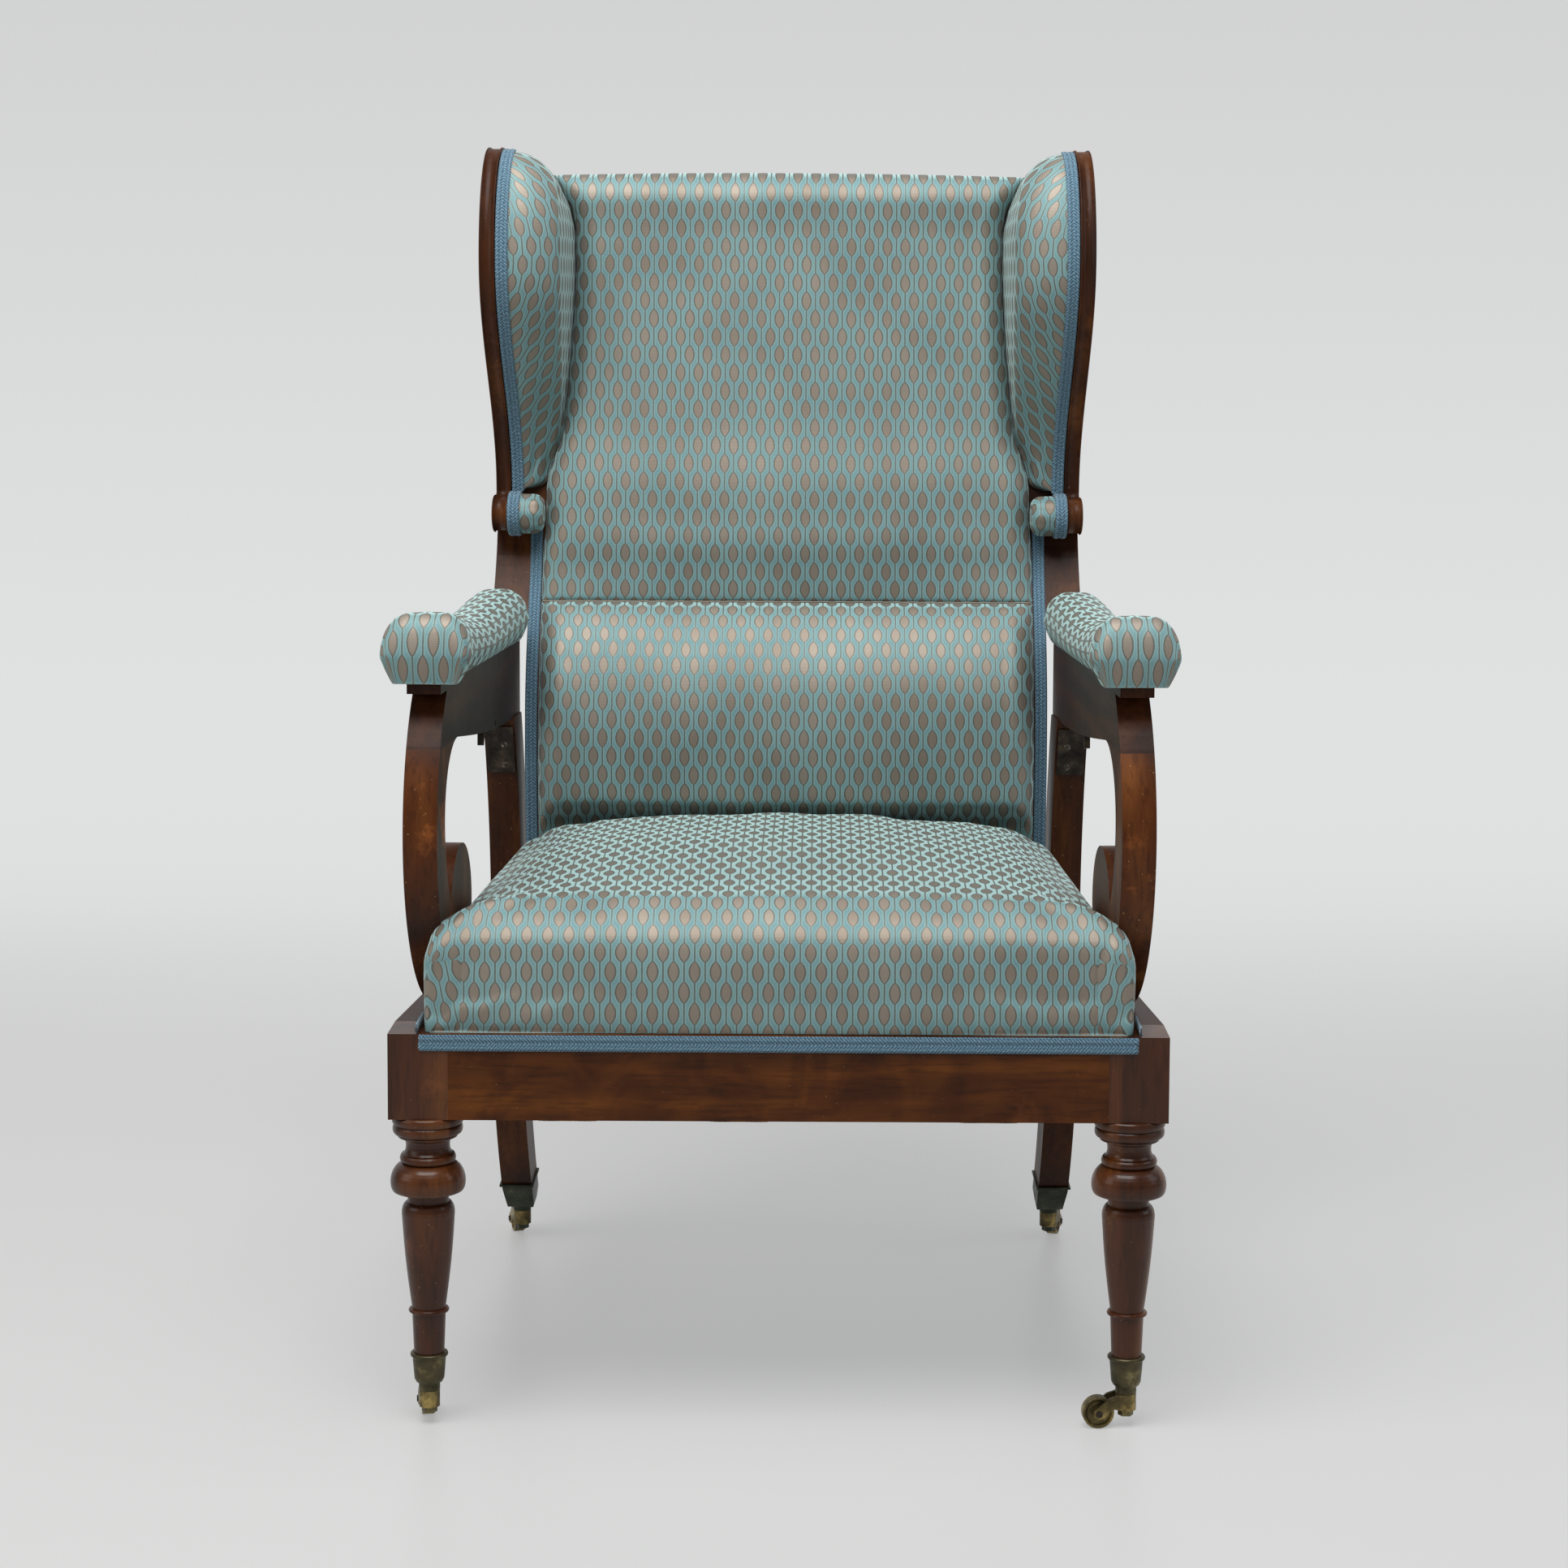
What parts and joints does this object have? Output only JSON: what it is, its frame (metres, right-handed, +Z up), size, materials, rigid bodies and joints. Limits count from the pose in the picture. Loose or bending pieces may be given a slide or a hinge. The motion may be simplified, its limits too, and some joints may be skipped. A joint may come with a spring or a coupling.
{
  "type": "reclining wing armchair",
  "caption": "Upholstered wing armchair with scrolled wooden arms, turned front legs on castors and a back that reclines on racks under the arms.",
  "frame": {"origin": "on the floor, under the middle of the chair's bounding box", "axes": "+Z up, the chair faces -Y, +X is to the right seen from the front, mirror plane X = 0 apart from the castors' headings"},
  "size_m": [0.708, 0.6662, 1.163],
  "materials": {
    "mahogany": "satin",
    "veneered_mahogany": "gloss",
    "figured_silk": "satin",
    "gimp_braid": "matte",
    "jute_webbing": "matte",
    "dust_cloth": "matte",
    "patinated_brass": "satin",
    "dark_iron": "satin"
  },
  "bodies": {
    "seat_frame": {"front_rail": "veneered_mahogany", "left_side_rail": "mahogany", "right_side_rail": "mahogany", "rear_rail": "mahogany", "corner_braces": "mahogany", "left_front_leg": "mahogany", "right_front_leg": "mahogany", "left_rear_post": "mahogany", "right_rear_post": "mahogany", "left_arm_scroll": "mahogany", "right_arm_scroll": "mahogany", "left_arm_rail": "mahogany", "right_arm_rail": "mahogany", "left_arm_pad": "figured_silk", "right_arm_pad": "figured_silk", "seat_cushion": "figured_silk", "seat_braid": "gimp_braid", "seat_webbing": "jute_webbing", "dust_cloth": "dust_cloth", "post_plates": "dark_iron", "catch_pins": "dark_iron", "front_left_socket": "patinated_brass", "front_right_socket": "patinated_brass", "rear_left_socket": "patinated_brass", "rear_right_socket": "patinated_brass"},
    "backrest": {"left_rack": "dark_iron", "right_rack": "dark_iron", "hinge_pins": "dark_iron", "left_back_stile": "mahogany", "right_back_stile": "mahogany", "back_top_rail": "mahogany", "back_middle_rail": "mahogany", "back_bottom_rail": "mahogany", "left_wing": "mahogany", "right_wing": "mahogany", "left_wing_pad": "figured_silk", "right_wing_pad": "figured_silk", "upper_back_pad": "figured_silk", "lumbar_pad": "figured_silk", "back_cover": "figured_silk", "back_braid": "gimp_braid", "wing_braid": "gimp_braid"},
    "left_catch": {"left_catch_lever": "dark_iron"},
    "right_catch": {"right_catch_lever": "dark_iron"},
    "front_left_castor": {"front_left_horn": "patinated_brass", "front_left_axle": "dark_iron"},
    "front_left_roller": {"front_left_wheel": "patinated_brass"},
    "front_right_castor": {"front_right_horn": "patinated_brass", "front_right_axle": "dark_iron"},
    "front_right_roller": {"front_right_wheel": "patinated_brass"},
    "rear_left_castor": {"rear_left_horn": "patinated_brass", "rear_left_axle": "dark_iron"},
    "rear_left_roller": {"rear_left_wheel": "patinated_brass"},
    "rear_right_castor": {"rear_right_horn": "patinated_brass", "rear_right_axle": "dark_iron"},
    "rear_right_roller": {"rear_right_wheel": "patinated_brass"}
  },
  "joints": [
    {"name": "back_recline", "type": "hinge", "parent": "seat_frame", "child": "backrest", "pos_m": [0, 0.22188, 0.33], "axis": [-1, 0, 0], "range_deg": [0, 20]},
    {"name": "left_catch_release", "type": "hinge", "parent": "seat_frame", "child": "left_catch", "pos_m": [-0.293, 0.02581, 0.5934], "axis": [-1, 0, 0], "range_deg": [0, 4]},
    {"name": "right_catch_release", "type": "hinge", "parent": "seat_frame", "child": "right_catch", "pos_m": [0.293, 0.02581, 0.5934], "axis": [-1, 0, 0], "range_deg": [0, 4]},
    {"name": "front_left_swivel", "type": "hinge", "parent": "seat_frame", "child": "front_left_castor", "pos_m": [-0.313, -0.29962, 0.03], "axis": [0, 0, 1], "continuous": true},
    {"name": "front_left_roll", "type": "hinge", "parent": "front_left_castor", "child": "front_left_roller", "pos_m": [-0.31743, -0.27451, 0.0142], "axis": [-0.9848, -0.1736, 0], "continuous": true},
    {"name": "front_right_swivel", "type": "hinge", "parent": "seat_frame", "child": "front_right_castor", "pos_m": [0.313, -0.29962, 0.03], "axis": [0, 0, 1], "continuous": true},
    {"name": "front_right_roll", "type": "hinge", "parent": "front_right_castor", "child": "front_right_roller", "pos_m": [0.28764, -0.30229, 0.0142], "axis": [0.1045, -0.9945, 0], "continuous": true},
    {"name": "rear_left_swivel", "type": "hinge", "parent": "seat_frame", "child": "rear_left_castor", "pos_m": [-0.2845, 0.29358, 0.03], "axis": [0, 0, 1], "continuous": true},
    {"name": "rear_left_roll", "type": "hinge", "parent": "rear_left_castor", "child": "rear_left_roller", "pos_m": [-0.29153, 0.31809, 0.0142], "axis": [-0.9613, -0.2756, 0], "continuous": true},
    {"name": "rear_right_swivel", "type": "hinge", "parent": "seat_frame", "child": "rear_right_castor", "pos_m": [0.2845, 0.29358, 0.03], "axis": [0, 0, 1], "continuous": true},
    {"name": "rear_right_roll", "type": "hinge", "parent": "rear_right_castor", "child": "rear_right_roller", "pos_m": [0.29153, 0.31809, 0.0142], "axis": [-0.9613, 0.2756, 0], "continuous": true}
  ]
}
